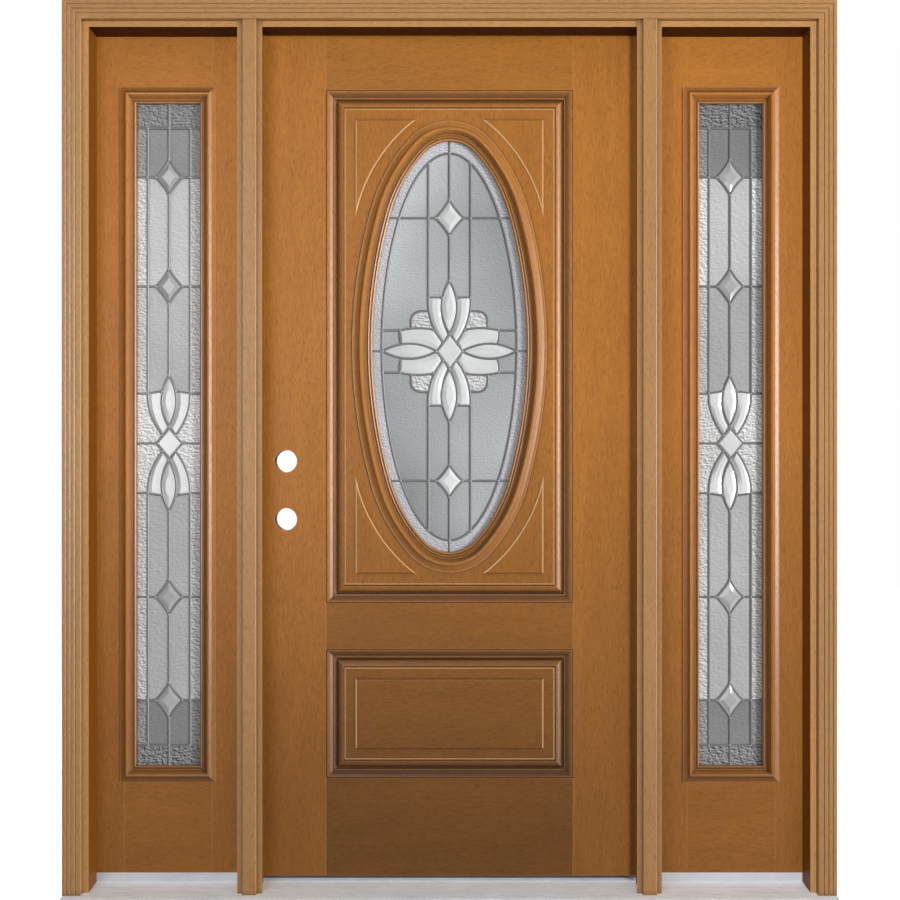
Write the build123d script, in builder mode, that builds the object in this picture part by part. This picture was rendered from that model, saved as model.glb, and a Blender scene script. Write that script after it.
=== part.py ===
"""Front entry door unit: a hinged leaf with an oval light, two fixed sidelites and their frame.

Millimetres. +Z is up, +X is to the right seen from outside and +Y points into the house.
The origin lies on the underside of the sill, below the middle of the leaf, in the plane of the
outer wall face that the brickmould is nailed against.
"""

import os
from math import cos, radians, sin, tan

from build123d import *

os.makedirs("parts", exist_ok=True)

# Door leaf
leaf_width = 908.0
leaf_height = 2024.0
leaf_thickness = 44.45
leaf_gap = 5.0
stile_width = 157.0
top_rail_height = 135.0
lock_rail_height = 111.0
lower_panel_height = 310.0
bottom_rail_height = 234.0

# Sweep under the leaf
sweep_inset = 4.0
sweep_plate = 1.2
sweep_fin_drop = 0.8
sweep_fin_width = 3.0
sweep_clearance = 5.0

# Panels of the leaf
panel_recess = 3.0
field_margin = 71.0
field_height = 3.0
field_bevel = 2.8
corner_field_reach_x = 146.0
corner_field_reach_z = 235.0
corner_field_hollow = 25.5

# Panel moulding, across its section from the stile to the panel
moulding_depth = 14.0
moulding_edge = 2.2
moulding_flat = 4.0
bead_width = 12.0
bead_drop = 6.5
bead_rise = 0.9
fillet_width = 4.5
fillet_drop = 1.5
cove_width = 4.5
cove_drop = 4.0
cove_sink = 0.8
ogee_width = 16.0
ogee_rise = 2.0
moulding_quirk = 1.5
moulding_land = 2.0

# Oval light, drawn with arcs of three radii
oval_margin_x = 111.0
oval_margin_z = 122.0
oval_side_angle = 15.7
oval_end_angle = 42.5
oval_end_fullness = 1.17

# Glass and glass frames
glass_thickness = 22.0
glass_bite = 12.0
oval_frame_width = 48.0
oval_bead_count = 2
sidelite_frame_width = 39.0
sidelite_bead_count = 1
frame_lap = 10.0
frame_leg = 20.0
frame_valley = 4.5
frame_rise_width = 8.0
frame_rise_height = 9.2
frame_crest_width = 4.0
frame_crest_height = 9.8
frame_fall_width = 6.0
frame_fall_height = 5.4
frame_cove_width = 7.0
frame_cove_height = 2.8
frame_edge = 2.0
frame_bead_width = 6.5
frame_bead_height = 2.2

# Sidelites
sidelite_width = 382.0
sidelite_light_width = 153.0
sidelite_light_shift = 6.5
sidelite_top_margin = 172.2
sidelite_bottom_margin = 256.7

# Jambs and mullions
jamb_depth = 116.0
jamb_thickness = 19.0
stop_projection = 12.7
weatherstrip_space = 11.0
weatherstrip_width = 9.0
weatherstrip_clearance = 5.0
mullion_core = 20.0
cover_width = 58.0
cover_flange = 6.0
cover_strip_width = 34.0
cover_strip_height = 16.0
cover_edge_round = 3.0

# Brickmould
brickmould_width = 44.45
brickmould_thickness = 19.0
brickmould_arris = 1.5
brickmould_grooves = (13.5, 24.0, 34.5)
brickmould_groove_width = 3.6
brickmould_groove_depth = 1.5
reveal = 13.5

# Sill
sill_nose = 34.0
sill_nose_height = 19.0
sill_slope = 3.8
deck_thickness = 2.5
deck_lip_clearance = 2.0
tread_groove_width = 3.0
tread_groove_depth = 1.2
tread_grooves = (31.0, 0.0, -19.0)
cap_height = 7.2
cap_chamfer = 4.0
riser_height = 21.3

# Lock preparation
lock_backset = 60.3
lock_bore_radius = 27.0
latch_bore_radius = 12.7
lockset_height = 856.6
deadbolt_spacing = 139.7

# Hinges
hinge_height = 101.6
hinge_leaf_width = 38.0
hinge_leaf_thickness = 2.5
hinge_barrel_radius = 6.5
hinge_pin_radius = 3.2
hinge_pin_clearance = 0.05
hinge_pin_head_radius = 4.6
hinge_pin_head = 3.0
hinge_knuckles = 3
hinge_knuckle_gap = 0.4
hinge_axis_offset = 7.5
hinge_from_top = 178.0
hinge_from_bottom = 254.0


def deck_height(depth):
    """Height of the sill deck at a depth behind the outer wall face."""
    return sill_nose_height + (depth + sill_nose) * tan(radians(sill_slope))


# Levels and depths worked out from the sizes above
leaf_front = jamb_depth - leaf_thickness
leaf_middle = jamb_depth - leaf_thickness / 2
door_stop_depth = leaf_front - weatherstrip_space
glass_face = leaf_middle - glass_thickness / 2
panel_face = leaf_front + panel_recess
cap_top = deck_height(leaf_front) + cap_height
riser_top = deck_height(leaf_front) + riser_height
sweep_drop = sweep_plate + sweep_fin_drop
leaf_bottom = cap_top + sweep_clearance + sweep_drop
leaf_top = leaf_bottom + leaf_height
lower_panel_bottom = leaf_bottom + bottom_rail_height
lock_rail_bottom = lower_panel_bottom + lower_panel_height
upper_panel_bottom = lock_rail_bottom + lock_rail_height
upper_panel_top = leaf_top - top_rail_height
upper_panel_height = upper_panel_top - upper_panel_bottom
head_core = leaf_top + leaf_gap
head_stop = head_core - stop_projection
head_top = head_core + jamb_thickness

# Distances from the middle of the unit
panel_width = leaf_width - 2 * stile_width
moulding_curves = moulding_flat + bead_width + fillet_width + cove_width + ogee_width
moulding_width = moulding_curves + 2 * moulding_quirk + moulding_land
core_door = leaf_width / 2 + leaf_gap
core_sidelite = core_door + mullion_core
stop_door = core_door - stop_projection
stop_sidelite = core_sidelite + stop_projection
jamb_core = core_sidelite + sidelite_width
jamb_stop = jamb_core - stop_projection
jamb_outer = jamb_core + jamb_thickness
brickmould_inner = jamb_stop + reveal
brickmould_outer = brickmould_inner + brickmould_width
brickmould_head = head_stop + reveal
brickmould_top = brickmould_head + brickmould_width
cover_middle = (stop_door + stop_sidelite) / 2
sidelite_light_x = core_sidelite + sidelite_width / 2 + sidelite_light_shift
sidelite_light_bottom = riser_top + sidelite_bottom_margin
sidelite_light_top = head_core - sidelite_top_margin
sidelite_light_height = sidelite_light_top - sidelite_light_bottom
sidelite_light_z = (sidelite_light_bottom + sidelite_light_top) / 2

# Shared planes
unit_mirror = Plane.YZ
leaf_mirror = Plane.XZ.offset(-leaf_middle)
deck_normal = (0, -sin(radians(sill_slope)), cos(radians(sill_slope)))
deck_plane = Plane((0, -sill_nose, sill_nose_height), x_dir=(1, 0, 0), z_dir=deck_normal)
jamb_mitre = Plane((jamb_stop, 0, head_stop), x_dir=(0, 1, 0), z_dir=(1, 0, -1))
brickmould_mitre = Plane((brickmould_inner, 0, brickmould_head), x_dir=(0, 1, 0), z_dir=(1, 0, -1))


def write(builder, label):
    """Label a finished piece and write it to its own file."""
    builder.part.label = label
    export_step(builder.part, f"parts/{label}.step")


def write_twin(builder, label, about):
    """Write the mirror image of a finished piece."""
    with BuildPart() as twin:
        mirror(builder.part, about=about)
    write(twin, label)


def section_plane(origin, across, proud):
    """Plane of a section: local x runs across the piece and local y stands proud of it."""
    return Plane(origin, x_dir=across, z_dir=Vector(across).cross(Vector(proud)))


def upright_plane(depth):
    """Plane that faces outside at a depth behind the wall face: local x and y are X and Z."""
    return Plane.XZ.offset(-depth)


# Sill
def sill_horns():
    """Sketch what is cut off the sill, so that only its nose runs out under the brickmould."""
    horn = brickmould_outer - jamb_outer
    middle = jamb_outer + horn / 2
    with Locations((middle, jamb_depth / 2), (-middle, jamb_depth / 2)):
        Rectangle(horn, jamb_depth)


base_front = deck_thickness - sill_nose
base_front_top = deck_height(base_front) - deck_thickness
base_back_top = deck_height(jamb_depth) - deck_thickness

with BuildPart() as sill_base:
    with BuildSketch(Plane.YZ):
        with BuildLine():
            Polyline(
                (base_front, 0),
                (jamb_depth, 0),
                (jamb_depth, base_back_top),
                (base_front, base_front_top),
                close=True,
            )
        make_face()
    extrude(amount=brickmould_outer, both=True)
    with BuildSketch(Plane.XY):
        sill_horns()
    extrude(amount=base_back_top, mode=Mode.SUBTRACT)
write(sill_base, "sill_base")

with BuildPart() as sill_deck:
    with BuildSketch(Plane.YZ):
        with BuildLine():
            Polyline(
                (-sill_nose, deck_lip_clearance),
                (-sill_nose, sill_nose_height),
                (jamb_depth, deck_height(jamb_depth)),
                (jamb_depth, base_back_top),
                (base_front, base_front_top),
                (base_front, deck_lip_clearance),
                close=True,
            )
        make_face()
        for groove in tread_grooves:
            with Locations((groove, deck_height(groove))):
                Rectangle(tread_groove_width, 2 * tread_groove_depth, mode=Mode.SUBTRACT)
    extrude(amount=brickmould_outer, both=True)
    with BuildSketch(Plane.XY):
        sill_horns()
    extrude(amount=deck_height(jamb_depth), mode=Mode.SUBTRACT)
write(sill_deck, "sill_deck")

with BuildPart() as sill_cap:
    with BuildSketch(Plane.YZ):
        with BuildLine():
            Polyline(
                (leaf_front, deck_height(leaf_front)),
                (leaf_front, cap_top - cap_chamfer),
                (leaf_front + cap_chamfer, cap_top),
                (jamb_depth - cap_chamfer, cap_top),
                (jamb_depth, cap_top - cap_chamfer),
                (jamb_depth, deck_height(jamb_depth)),
                close=True,
            )
        make_face()
    extrude(amount=core_door, both=True)
write(sill_cap, "sill_cap")

with BuildPart() as sidelite_riser:
    with BuildSketch(Plane.YZ.offset(core_sidelite)):
        with BuildLine():
            Polyline(
                (leaf_front, deck_height(leaf_front)),
                (leaf_front, riser_top),
                (jamb_depth, riser_top),
                (jamb_depth, deck_height(jamb_depth)),
                close=True,
            )
        make_face()
    extrude(amount=sidelite_width)
write(sidelite_riser, "right_sidelite_riser")
write_twin(sidelite_riser, "left_sidelite_riser", unit_mirror)


# Jambs: L sections with a stop, cut to the sill at the foot and mitred at the head
def jamb_section():
    """Draw a jamb's section, from the face of its stop outwards."""
    outer = stop_projection + jamb_thickness
    Polyline(
        (0, 0),
        (0, leaf_front),
        (stop_projection, leaf_front),
        (stop_projection, jamb_depth),
        (outer, jamb_depth),
        (outer, 0),
        close=True,
    )


with BuildPart() as side_jamb:
    with BuildSketch(section_plane((jamb_stop, 0, 0), (1, 0, 0), (0, 1, 0))):
        with BuildLine():
            jamb_section()
        make_face()
    extrude(amount=head_top)
    split(bisect_by=deck_plane, keep=Keep.TOP)
    split(bisect_by=jamb_mitre, keep=Keep.TOP)
write(side_jamb, "right_jamb")
write_twin(side_jamb, "left_jamb", unit_mirror)

with BuildPart() as head_jamb:
    with BuildSketch(section_plane((0, 0, head_stop), (0, 0, 1), (0, 1, 0))):
        with BuildLine():
            jamb_section()
        make_face()
    extrude(amount=jamb_outer, both=True)
    split(bisect_by=jamb_mitre, keep=Keep.BOTTOM)
    mirror(about=unit_mirror, mode=Mode.INTERSECT)
    with BuildSketch(Plane.XY.offset(head_stop)):
        with Locations((0, leaf_front - weatherstrip_space / 2)):
            Rectangle(2 * core_door, weatherstrip_space)
    extrude(amount=stop_projection, mode=Mode.SUBTRACT)
write(head_jamb, "head_jamb")


# Hinges: three butt hinges on the inside of the right mullion
hinge_axis_x = core_door - leaf_gap / 2
hinge_axis_y = jamb_depth + hinge_axis_offset
hinge_low = leaf_bottom + hinge_from_bottom
hinge_high = leaf_top - hinge_from_top - hinge_height
hinge_levels = (hinge_low, (hinge_low + hinge_high) / 2, hinge_high)
knuckle_pitch = hinge_height / hinge_knuckles
knuckle_length = knuckle_pitch - hinge_knuckle_gap


def hinge_mortises(face):
    """Sketch the leaf seats on an edge that faces along X, one for each hinge."""
    middle = jamb_depth - hinge_leaf_width / 2
    seats = [(middle, level + hinge_height / 2) for level in hinge_levels]
    with BuildSketch(Plane.YZ.offset(face)) as mortises:
        with Locations(*seats):
            Rectangle(hinge_leaf_width, hinge_height)
    return mortises.sketch


def hinge_leaves(face, thickness, first_knuckle):
    """Build three hinge leaves on one edge, each with every second knuckle of its barrel."""
    edge_x = face + thickness / 2
    reach = hinge_axis_y - jamb_depth + hinge_leaf_width
    for level in hinge_levels:
        with BuildSketch(Plane.XY.offset(level)) as plate:
            with Locations((edge_x, jamb_depth - hinge_leaf_width / 2)):
                Rectangle(abs(thickness), hinge_leaf_width)
        extrude(plate.sketch, amount=hinge_height)
        for knuckle in range(first_knuckle, hinge_knuckles, 2):
            with BuildSketch(Plane.XY.offset(level + knuckle * knuckle_pitch)) as barrel:
                with Locations((edge_x, hinge_axis_y - reach / 2)):
                    Rectangle(abs(thickness), reach)
                with Locations((hinge_axis_x, hinge_axis_y)):
                    Circle(hinge_barrel_radius)
                    Circle(hinge_pin_radius + hinge_pin_clearance, mode=Mode.SUBTRACT)
            extrude(barrel.sketch, amount=knuckle_length)


with BuildPart() as frame_hinges:
    hinge_leaves(core_door, hinge_leaf_thickness, 0)
write(frame_hinges, "frame_hinge_leaves")

with BuildPart() as door_hinges:
    hinge_leaves(core_door - leaf_gap, -hinge_leaf_thickness, 1)
write(door_hinges, "door_hinge_leaves")

with BuildPart() as hinge_pins:
    for level in hinge_levels:
        barrel_top = level + hinge_height - hinge_knuckle_gap
        with BuildSketch(Plane.XY.offset(level - hinge_pin_head)):
            with Locations((hinge_axis_x, hinge_axis_y)):
                Circle(hinge_pin_radius)
        extrude(amount=hinge_height + hinge_pin_head - hinge_knuckle_gap)
        with BuildSketch(Plane.XY.offset(barrel_top)):
            with Locations((hinge_axis_x, hinge_axis_y)):
                Circle(hinge_pin_head_radius)
        extrude(amount=hinge_pin_head)
write(hinge_pins, "hinge_pins")


# Mullions: posts with a stop on each side of a core, coped around the head's stop
def mullion_post():
    """Raise the right-hand mullion from the sill to the head."""
    with BuildSketch() as post:
        with BuildLine():
            Polyline(
                (stop_door, 0),
                (stop_sidelite, 0),
                (stop_sidelite, leaf_front),
                (core_sidelite, leaf_front),
                (core_sidelite, jamb_depth),
                (core_door, jamb_depth),
                (core_door, door_stop_depth),
                (stop_door, door_stop_depth),
                close=True,
            )
        make_face()
    extrude(post.sketch, amount=head_core)
    split(bisect_by=deck_plane, keep=Keep.TOP)
    with BuildSketch(Plane.XY.offset(head_stop)) as cope:
        with Locations((cover_middle, leaf_front / 2)):
            Rectangle(stop_sidelite - stop_door, leaf_front)
    extrude(cope.sketch, amount=stop_projection, mode=Mode.SUBTRACT)


with BuildPart() as plain_mullion:
    mullion_post()
write_twin(plain_mullion, "left_mullion", unit_mirror)

with BuildPart() as hinge_mullion:
    mullion_post()
    extrude(hinge_mortises(core_door), amount=hinge_leaf_thickness, mode=Mode.SUBTRACT)
write(hinge_mullion, "right_mullion")

with BuildPart() as mullion_cover:
    with BuildSketch():
        with Locations((cover_middle, -cover_flange / 2)):
            Rectangle(cover_width, cover_flange)
        with Locations((cover_middle, -cover_strip_height / 2)):
            Rectangle(cover_strip_width, cover_strip_height)
    extrude(amount=brickmould_head)
    strip_edges = mullion_cover.edges().filter_by(Axis.Z).group_by(Axis.Y)[0]
    fillet(strip_edges, radius=cover_edge_round)
    split(bisect_by=deck_plane, keep=Keep.TOP)
write(mullion_cover, "right_mullion_cover")
write_twin(mullion_cover, "left_mullion_cover", unit_mirror)

# Weatherstrip: a flat-backed bulb on the stops, clear of the closed leaf
strip_thickness = weatherstrip_space - weatherstrip_clearance
strip_margin = (stop_projection - weatherstrip_width) / 2
strip_inner = stop_door + strip_margin
strip_outer = strip_inner + weatherstrip_width
strip_head = head_stop + strip_margin

with BuildPart() as weatherstrip:
    with BuildSketch(upright_plane(door_stop_depth)):
        with BuildLine():
            Polyline(
                (strip_inner, cap_top),
                (strip_outer, cap_top),
                (strip_outer, strip_head + weatherstrip_width),
                (-strip_outer, strip_head + weatherstrip_width),
                (-strip_outer, cap_top),
                (-strip_inner, cap_top),
                (-strip_inner, strip_head),
                (strip_inner, strip_head),
                close=True,
            )
        make_face()
    extrude(amount=-strip_thickness)
    strip_rim = weatherstrip.faces().sort_by(Axis.Y)[-1].edges().filter_by(Axis.Z)
    fillet(strip_rim, radius=weatherstrip_width / 3)
write(weatherstrip, "door_weatherstrip")


# Brickmould: a reeded casing on the outer wall face, mitred at the head
def brickmould_section():
    """Draw the brickmould's section, from its inner edge outwards."""
    face = brickmould_thickness
    half = brickmould_groove_width / 2
    outline = [(0, 0), (0, face - brickmould_arris), (brickmould_arris, face)]
    for groove in brickmould_grooves:
        outline.append((groove - half, face))
        outline.append((groove, face - brickmould_groove_depth))
        outline.append((groove + half, face))
    outline.append((brickmould_width - brickmould_arris, face))
    outline.append((brickmould_width, face - brickmould_arris))
    outline.append((brickmould_width, 0))
    Polyline(*outline, close=True)


with BuildPart() as brickmould_leg:
    with BuildSketch(section_plane((brickmould_inner, 0, 0), (1, 0, 0), (0, -1, 0))):
        with BuildLine():
            brickmould_section()
        make_face()
    extrude(amount=brickmould_top, dir=(0, 0, 1))
    split(bisect_by=deck_plane, keep=Keep.TOP)
    split(bisect_by=brickmould_mitre, keep=Keep.TOP)
write(brickmould_leg, "right_brickmould")
write_twin(brickmould_leg, "left_brickmould", unit_mirror)

with BuildPart() as brickmould_cap:
    with BuildSketch(section_plane((0, 0, brickmould_head), (0, 0, 1), (0, -1, 0))):
        with BuildLine():
            brickmould_section()
        make_face()
    extrude(amount=brickmould_outer, both=True)
    split(bisect_by=brickmould_mitre, keep=Keep.BOTTOM)
    mirror(about=unit_mirror, mode=Mode.INTERSECT)
write(brickmould_cap, "head_brickmould")


# Glass frames: one moulded section, swept round the oval and round each sidelite's light
def light_frame_section(width, beads, seat):
    """Draw a glass frame's section, from the edge of the clear glass outwards."""
    rise_start = beads * frame_bead_width + frame_valley
    rise_end = rise_start + frame_rise_width
    crest_end = rise_end + frame_crest_width
    fall_end = crest_end + frame_fall_width
    cove_end = fall_end + frame_cove_width
    outline = [(0, 0)]
    for bead in range(beads):
        low = bead * frame_bead_width
        outline.append((low + frame_bead_width / 2, frame_bead_height))
        outline.append((low + frame_bead_width, 0))
    outline.append((rise_start, 0))
    outline.append((rise_end, frame_rise_height))
    outline.append((crest_end, frame_crest_height))
    outline.append((fall_end, frame_fall_height))
    outline.append((cove_end, frame_cove_height))
    outline.append((width, frame_edge))
    outline.append((width, 0))
    outline.append((frame_leg, 0))
    outline.append((frame_leg, -seat))
    outline.append((0, -seat))
    Polyline(*outline, close=True)


def closed_rectangle(middle, width, height):
    """Draw a rectangular path that starts halfway up its right side."""
    x, z = middle
    right = x + width / 2
    left = x - width / 2
    top = z + height / 2
    bottom = z - height / 2
    Polyline((right, z), (right, top), (left, top), (left, bottom), (right, bottom), (right, z))


# Oval: a side, a shoulder and an end arc in each quarter, each tangent to the next
oval_z = (upper_panel_bottom + upper_panel_top) / 2
oval_semi_x = panel_width / 2 - oval_margin_x
oval_semi_z = upper_panel_height / 2 - oval_margin_z
side_cos = cos(radians(oval_side_angle))
side_sin = sin(radians(oval_side_angle))
end_cos = cos(radians(oval_end_angle))
end_sin = sin(radians(oval_end_angle))
end_radius = oval_end_fullness * oval_semi_x**2 / oval_semi_z
rest_x = oval_semi_x - end_radius * end_cos
rest_z = oval_semi_z - end_radius * (1 - end_sin)
turn_x = side_cos - end_cos
turn_z = end_sin - side_sin
side_radius = (rest_z * turn_x - rest_x * turn_z) / (side_sin * turn_x - (1 - side_cos) * turn_z)
shoulder_radius = (rest_z - side_radius * side_sin) / turn_z
end_z = oval_semi_z - end_radius
shoulder_x = (end_radius - shoulder_radius) * end_cos
shoulder_z = end_z + (end_radius - shoulder_radius) * end_sin
side_x = oval_semi_x - side_radius


def oval_sketch(depth, grow):
    """Sketch the oval at a depth, grown by an even margin from the edge of the clear glass."""
    shoulder_turn = oval_end_angle - oval_side_angle
    end_turn = 90 - oval_end_angle
    with BuildSketch(upright_plane(depth), mode=Mode.PRIVATE) as oval:
        with BuildLine():
            CenterArc((side_x, 0), side_radius + grow, 0, oval_side_angle)
            CenterArc((shoulder_x, shoulder_z), shoulder_radius + grow, oval_side_angle, shoulder_turn)
            CenterArc((0, end_z), end_radius + grow, oval_end_angle, end_turn)
            mirror(about=Plane.YZ)
            mirror(about=Plane.XZ)
        make_face()
    return oval.sketch.moved(Location((0, 0, oval_z)))


with BuildPart() as oval_frame:
    glass_edge = oval_sketch(panel_face, 0)
    with BuildSketch(section_plane((oval_semi_x, panel_face, oval_z), (1, 0, 0), (0, -1, 0))):
        with BuildLine():
            light_frame_section(oval_frame_width, oval_bead_count, glass_face - panel_face)
        make_face()
    sweep(path=glass_edge.face().outer_wire())
write(oval_frame, "oval_frame_outside")
write_twin(oval_frame, "oval_frame_inside", leaf_mirror)

with BuildPart() as oval_glass:
    extrude(oval_sketch(glass_face, glass_bite), amount=-glass_thickness)
write(oval_glass, "oval_glass")


# Leaf: stiles, rails and panels
def leaf_board(x_low, x_high, z_low, z_high):
    """Build a full-thickness board of the leaf between two widths and two heights."""
    with BuildSketch(upright_plane(leaf_front)) as board:
        with Locations(((x_low + x_high) / 2, (z_low + z_high) / 2)):
            Rectangle(x_high - x_low, z_high - z_low)
    extrude(board.sketch, amount=-leaf_thickness)


leaf_edge = leaf_width / 2
stile_inner = leaf_edge - stile_width
lockset_z = leaf_bottom + lockset_height
deadbolt_z = lockset_z + deadbolt_spacing

with BuildPart() as lock_stile:
    leaf_board(-leaf_edge, -stile_inner, leaf_bottom, leaf_top)
    bore_x = lock_backset - leaf_edge
    with BuildSketch(upright_plane(leaf_front)):
        with Locations((bore_x, lockset_z), (bore_x, deadbolt_z)):
            Circle(lock_bore_radius)
    extrude(amount=-leaf_thickness, mode=Mode.SUBTRACT)
    with BuildSketch(Plane.YZ.offset(-leaf_edge)):
        with Locations((leaf_middle, lockset_z), (leaf_middle, deadbolt_z)):
            Circle(latch_bore_radius)
    extrude(amount=lock_backset, mode=Mode.SUBTRACT)
write(lock_stile, "lock_stile")

with BuildPart() as hinge_stile:
    leaf_board(stile_inner, leaf_edge, leaf_bottom, leaf_top)
    extrude(hinge_mortises(leaf_edge), amount=-hinge_leaf_thickness, mode=Mode.SUBTRACT)
write(hinge_stile, "hinge_stile")

with BuildPart() as top_rail:
    leaf_board(-stile_inner, stile_inner, upper_panel_top, leaf_top)
write(top_rail, "top_rail")

with BuildPart() as lock_rail:
    leaf_board(-stile_inner, stile_inner, lock_rail_bottom, upper_panel_bottom)
write(lock_rail, "lock_rail")

with BuildPart() as bottom_rail:
    leaf_board(-stile_inner, stile_inner, leaf_bottom, lower_panel_bottom)
write(bottom_rail, "bottom_rail")


def panel_board(z_low, z_high):
    """Build a panel: a thin tongue all round and a thicker middle between the mouldings."""
    middle = (0, (z_low + z_high) / 2)
    height = z_high - z_low
    with BuildSketch(upright_plane(leaf_front + moulding_depth)) as tongue:
        with Locations(middle):
            Rectangle(panel_width, height)
    extrude(tongue.sketch, amount=2 * moulding_depth - leaf_thickness)
    with BuildSketch(upright_plane(panel_face)) as centre:
        with Locations(middle):
            Rectangle(panel_width - 2 * moulding_width, height - 2 * moulding_width)
    extrude(centre.sketch, amount=2 * panel_recess - leaf_thickness)


def raise_fields(fields):
    """Build bevelled fields as thick as the panel and proud of both its faces."""
    with BuildPart(mode=Mode.PRIVATE) as raised:
        extrude(fields, amount=2 * panel_recess - leaf_thickness - field_height)
        extrude(fields, amount=field_height)
        faces = raised.faces().filter_by(Axis.Y).group_by(Axis.Y)
        chamfer((faces[0] + faces[-1]).edges(), length=field_bevel)
    add(raised.part)


with BuildPart() as lower_panel:
    panel_board(lower_panel_bottom, lock_rail_bottom)
    with BuildSketch(upright_plane(panel_face), mode=Mode.PRIVATE) as lower_field:
        with Locations((0, (lower_panel_bottom + lock_rail_bottom) / 2)):
            Rectangle(panel_width - 2 * field_margin, lower_panel_height - 2 * field_margin)
    raise_fields(lower_field.sketch)
write(lower_panel, "lower_panel")

with BuildPart() as upper_panel:
    panel_board(upper_panel_bottom, upper_panel_top)
    field_x = panel_width / 2 - field_margin
    field_z = upper_panel_height / 2 - field_margin
    across_end = (field_x - corner_field_reach_x, field_z)
    down_end = (field_x, field_z - corner_field_reach_z)
    with BuildSketch(upright_plane(panel_face), mode=Mode.PRIVATE) as corner_fields:
        with BuildLine():
            Polyline(across_end, (field_x, field_z), down_end)
            SagittaArc(down_end, across_end, -corner_field_hollow)
        make_face()
        mirror(about=Plane.YZ)
        mirror(about=Plane.XZ)
    raise_fields(corner_fields.sketch.moved(Location((0, 0, oval_z))))
    panel_hole = oval_sketch(leaf_front, oval_frame_width - frame_lap)
    extrude(panel_hole, amount=-leaf_thickness, mode=Mode.SUBTRACT)
write(upper_panel, "upper_panel")


# Panel mouldings: a bead, a cove and an ogee, swept round each panel with mitred corners
def panel_moulding_section():
    """Draw a panel moulding's section, from the stile's edge inwards to the panel."""
    floor = -moulding_depth
    field = -panel_recess
    bead_end = moulding_flat + bead_width
    cove_start = bead_end + fillet_width
    fillet_top = -bead_drop - fillet_drop
    cove_end = cove_start + cove_width
    ogee_end = cove_end + ogee_width
    quirk_middle = ogee_end + moulding_quirk
    quirk_end = quirk_middle + moulding_quirk
    Polyline((0, floor), (0, -moulding_edge), (moulding_edge, 0), (moulding_flat, 0))
    SagittaArc((moulding_flat, 0), (bead_end, -bead_drop), bead_rise)
    Polyline((bead_end, -bead_drop), (bead_end, fillet_top), (cove_start, fillet_top))
    SagittaArc((cove_start, fillet_top), (cove_end, fillet_top - cove_drop), -cove_sink)
    SagittaArc((cove_end, fillet_top - cove_drop), (ogee_end, field), ogee_rise)
    Polyline((ogee_end, field), (quirk_middle, field - moulding_quirk), (quirk_end, field))
    Polyline((quirk_end, field), (moulding_width, field), (moulding_width, floor), (0, floor))


def panel_moulding(z_low, z_high):
    """Sweep the moulding round a panel opening on the outside of the leaf."""
    z_middle = (z_low + z_high) / 2
    with BuildLine(upright_plane(leaf_front)) as path:
        closed_rectangle((0, z_middle), panel_width, z_high - z_low)
    start = (panel_width / 2, leaf_front, z_middle)
    with BuildSketch(section_plane(start, (-1, 0, 0), (0, -1, 0))) as moulding:
        with BuildLine():
            panel_moulding_section()
        make_face()
    sweep(moulding.sketch, path=path.wires()[0], transition=Transition.RIGHT)


with BuildPart() as upper_moulding:
    panel_moulding(upper_panel_bottom, upper_panel_top)
write(upper_moulding, "upper_moulding_outside")
write_twin(upper_moulding, "upper_moulding_inside", leaf_mirror)

with BuildPart() as lower_moulding:
    panel_moulding(lower_panel_bottom, lock_rail_bottom)
write(lower_moulding, "lower_moulding_outside")
write_twin(lower_moulding, "lower_moulding_inside", leaf_mirror)

# Sweep: a plate under the leaf with fins that hang towards the sill cap
with BuildPart() as sweep_strip:
    sweep_width = leaf_thickness - 2 * sweep_inset
    sweep_length = leaf_width - 2 * sweep_inset
    with BuildSketch(Plane.XY.offset(leaf_bottom)):
        with Locations((0, leaf_middle)):
            Rectangle(sweep_length, sweep_width)
    extrude(amount=-sweep_plate)
    with BuildSketch(Plane.XY.offset(leaf_bottom - sweep_plate)):
        with Locations((0, leaf_middle)):
            with GridLocations(0, (sweep_width - sweep_fin_width) / 2, 1, 3):
                Rectangle(sweep_length, sweep_fin_width)
    extrude(amount=-sweep_fin_drop)
write(sweep_strip, "door_sweep")


# Sidelites: stiles and rails round a tall light
light_opening = sidelite_light_width / 2 + sidelite_frame_width - frame_lap
light_inner_x = sidelite_light_x - light_opening
light_outer_x = sidelite_light_x + light_opening
light_low = sidelite_light_bottom - sidelite_frame_width + frame_lap
light_high = sidelite_light_bottom + sidelite_light_height + sidelite_frame_width - frame_lap

with BuildPart() as sidelite_stiles:
    leaf_board(core_sidelite, light_inner_x, riser_top, head_core)
    leaf_board(light_outer_x, jamb_core, riser_top, head_core)
write(sidelite_stiles, "right_sidelite_stiles")
write_twin(sidelite_stiles, "left_sidelite_stiles", unit_mirror)

with BuildPart() as sidelite_rails:
    leaf_board(light_inner_x, light_outer_x, riser_top, light_low)
    leaf_board(light_inner_x, light_outer_x, light_high, head_core)
write(sidelite_rails, "right_sidelite_rails")
write_twin(sidelite_rails, "left_sidelite_rails", unit_mirror)

with BuildPart() as sidelite_frame:
    with BuildLine(upright_plane(leaf_front)) as light_path:
        closed_rectangle((sidelite_light_x, sidelite_light_z), sidelite_light_width, sidelite_light_height)
    light_edge = (sidelite_light_x + sidelite_light_width / 2, leaf_front, sidelite_light_z)
    with BuildSketch(section_plane(light_edge, (1, 0, 0), (0, -1, 0))):
        with BuildLine():
            light_frame_section(sidelite_frame_width, sidelite_bead_count, glass_face - leaf_front)
        make_face()
    sweep(path=light_path.wires()[0], transition=Transition.RIGHT)
write(sidelite_frame, "right_sidelite_frame_outside")
write_twin(sidelite_frame, "left_sidelite_frame_outside", unit_mirror)

with BuildPart() as sidelite_frame_back:
    mirror(sidelite_frame.part, about=leaf_mirror)
write(sidelite_frame_back, "right_sidelite_frame_inside")
write_twin(sidelite_frame_back, "left_sidelite_frame_inside", unit_mirror)

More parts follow.
